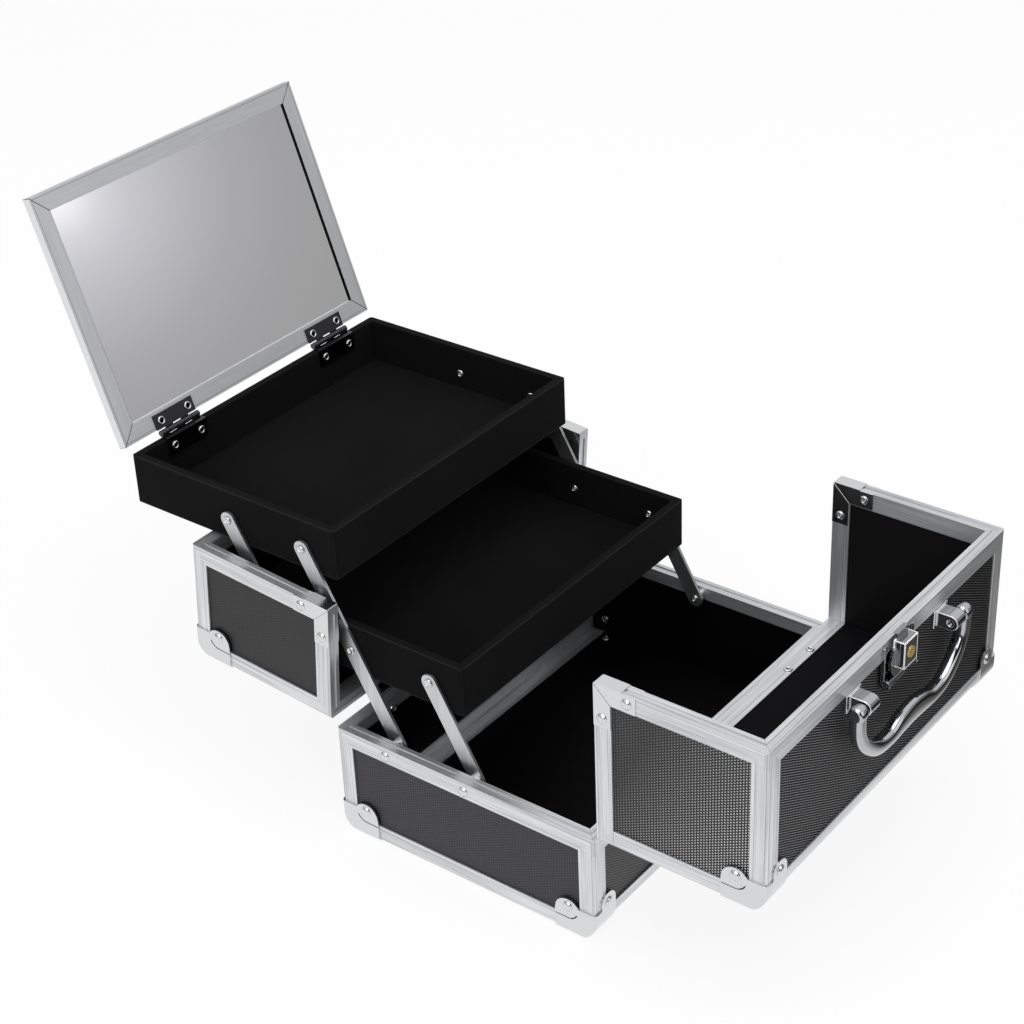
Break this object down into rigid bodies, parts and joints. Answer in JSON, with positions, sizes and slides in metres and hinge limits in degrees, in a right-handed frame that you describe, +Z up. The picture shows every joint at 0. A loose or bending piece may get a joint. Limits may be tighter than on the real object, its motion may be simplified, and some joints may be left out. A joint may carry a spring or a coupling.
{
  "type": "cosmetic case with mirror",
  "caption": "Black laminate cosmetic case with aluminium edges and ball corners; the lid splits to front and back, cantilever trays rise on arms, and a mirror tilts up.",
  "frame": {"origin": "middle of the case's underside", "axes": "+Z up, -Y the front with the handle, +X to the right seen from the front"},
  "size_m": [0.204, 0.4214, 0.2784],
  "materials": {
    "laminate_panel": "embossed black laminate",
    "tray_flock": "black flock",
    "backing_board": "matte",
    "mirror_glass": "silvered",
    "brass": "polished",
    "aluminium_trim": "satin, brushed lengthwise",
    "chrome": "polished"
  },
  "bodies": {
    "base": {"base_floor": "laminate_panel", "base_front_wall": "laminate_panel", "base_rear_wall": "laminate_panel", "base_left_wall": "laminate_panel", "base_right_wall": "laminate_panel", "base_rim": "aluminium_trim", "base_long_edges": "aluminium_trim", "base_side_edges": "aluminium_trim", "base_corner_posts": "aluminium_trim", "base_ball_corners": "chrome", "base_rivets": "chrome", "base_pivot_rivets": "chrome", "front_hinge_base_leaves": "chrome", "rear_hinge_base_leaves": "chrome"},
    "front_lid": {"front_lid_wall": "laminate_panel", "front_lid_top": "laminate_panel", "front_lid_left_side": "laminate_panel", "front_lid_right_side": "laminate_panel", "front_lid_rim": "aluminium_trim", "front_lid_long_edge": "aluminium_trim", "front_lid_edge_trims": "aluminium_trim", "front_lid_ball_corners": "chrome", "front_lid_corner_plates": "chrome", "front_lid_rivets": "chrome", "front_hinge_lid_leaves": "chrome", "handle_brackets": "chrome", "lock_plate": "chrome"},
    "rear_lid": {"rear_lid_wall": "laminate_panel", "rear_lid_top": "laminate_panel", "rear_lid_left_side": "laminate_panel", "rear_lid_right_side": "laminate_panel", "rear_lid_rim": "aluminium_trim", "rear_lid_long_edge": "aluminium_trim", "rear_lid_edge_trims": "aluminium_trim", "rear_lid_ball_corners": "chrome", "rear_lid_corner_plates": "chrome", "rear_lid_rivets": "chrome", "rear_hinge_lid_leaves": "chrome", "lock_strike": "chrome"},
    "long_arms": {"long_arms": "aluminium_trim"},
    "front_short_arms": {"front_short_arms": "aluminium_trim"},
    "rear_short_arms": {"rear_short_arms": "aluminium_trim"},
    "lower_tray": {"lower_tray": "tray_flock", "lower_tray_rivets": "chrome"},
    "upper_tray": {"upper_tray": "tray_flock", "upper_tray_rivets": "chrome", "mirror_hinge_tray_leaves": "chrome", "mirror_hinge_rivets": "chrome"},
    "mirror": {"mirror_frame": "aluminium_trim", "mirror_glass": "mirror_glass", "mirror_back": "backing_board", "mirror_hinge_mirror_leaves": "chrome", "mirror_leaf_rivets": "chrome"},
    "handle": {"handle": "chrome"},
    "lock_lever": {"lock_lever": "chrome"},
    "key_cylinder": {"key_cylinder": "brass"}
  },
  "joints": [
    {"name": "front_lid_hinge", "type": "hinge", "parent": "base", "child": "front_lid", "pos_m": [0, -0.0747, 0.0583], "axis": [-1, 0, 0], "range_deg": [0, 90]},
    {"name": "rear_lid_hinge", "type": "hinge", "parent": "base", "child": "rear_lid", "pos_m": [0, 0.0759, 0.0583], "axis": [1, 0, 0], "range_deg": [-4.35, 0.1]},
    {"name": "tray_fold", "type": "hinge", "parent": "base", "child": "long_arms", "pos_m": [0, 0.04433, 0.0532], "axis": [1, 0, 0], "range_deg": [0, 91.2]},
    {"name": "front_arms_turn", "type": "hinge", "parent": "base", "child": "front_short_arms", "pos_m": [0, -0.00127, 0.0532], "axis": [1, 0, 0], "range_deg": [0, 91.2]},
    {"name": "lower_tray_level", "type": "hinge", "parent": "long_arms", "child": "lower_tray", "pos_m": [0, 0.06882, 0.09702], "axis": [1, 0, 0], "range_deg": [-91.2, 0]},
    {"name": "upper_tray_level", "type": "hinge", "parent": "long_arms", "child": "upper_tray", "pos_m": [0, 0.09428, 0.14259], "axis": [1, 0, 0], "range_deg": [-91.2, 0]},
    {"name": "rear_arms_turn", "type": "hinge", "parent": "lower_tray", "child": "rear_short_arms", "pos_m": [0, 0.11441, 0.09702], "axis": [1, 0, 0], "range_deg": [0, 91.2]},
    {"name": "mirror_tilt", "type": "hinge", "parent": "upper_tray", "child": "mirror", "pos_m": [0, 0.20268, 0.15879], "axis": [1, 0, 0], "range_deg": [0, 109.5]},
    {"name": "handle_swing", "type": "hinge", "parent": "front_lid", "child": "handle", "pos_m": [0.003, -0.1664, 0.1295], "axis": [-1, 0, 0], "range_deg": [0, 180]},
    {"name": "lock_lever_swing", "type": "hinge", "parent": "front_lid", "child": "lock_lever", "pos_m": [0.0005, -0.1618, 0.1235], "axis": [1, 0, 0], "range_deg": [0, 80]},
    {"name": "key_turn", "type": "hinge", "parent": "lock_lever", "child": "key_cylinder", "pos_m": [0.0005, -0.1618, 0.136], "axis": [0, -1, 0], "range_deg": [0, 90]}
  ],
  "couplings": [
    {"joint": "front_arms_turn", "follows": "tray_fold", "ratio": 1},
    {"joint": "lower_tray_level", "follows": "tray_fold", "ratio": -1},
    {"joint": "upper_tray_level", "follows": "tray_fold", "ratio": -1},
    {"joint": "rear_arms_turn", "follows": "tray_fold", "ratio": 1}
  ]
}
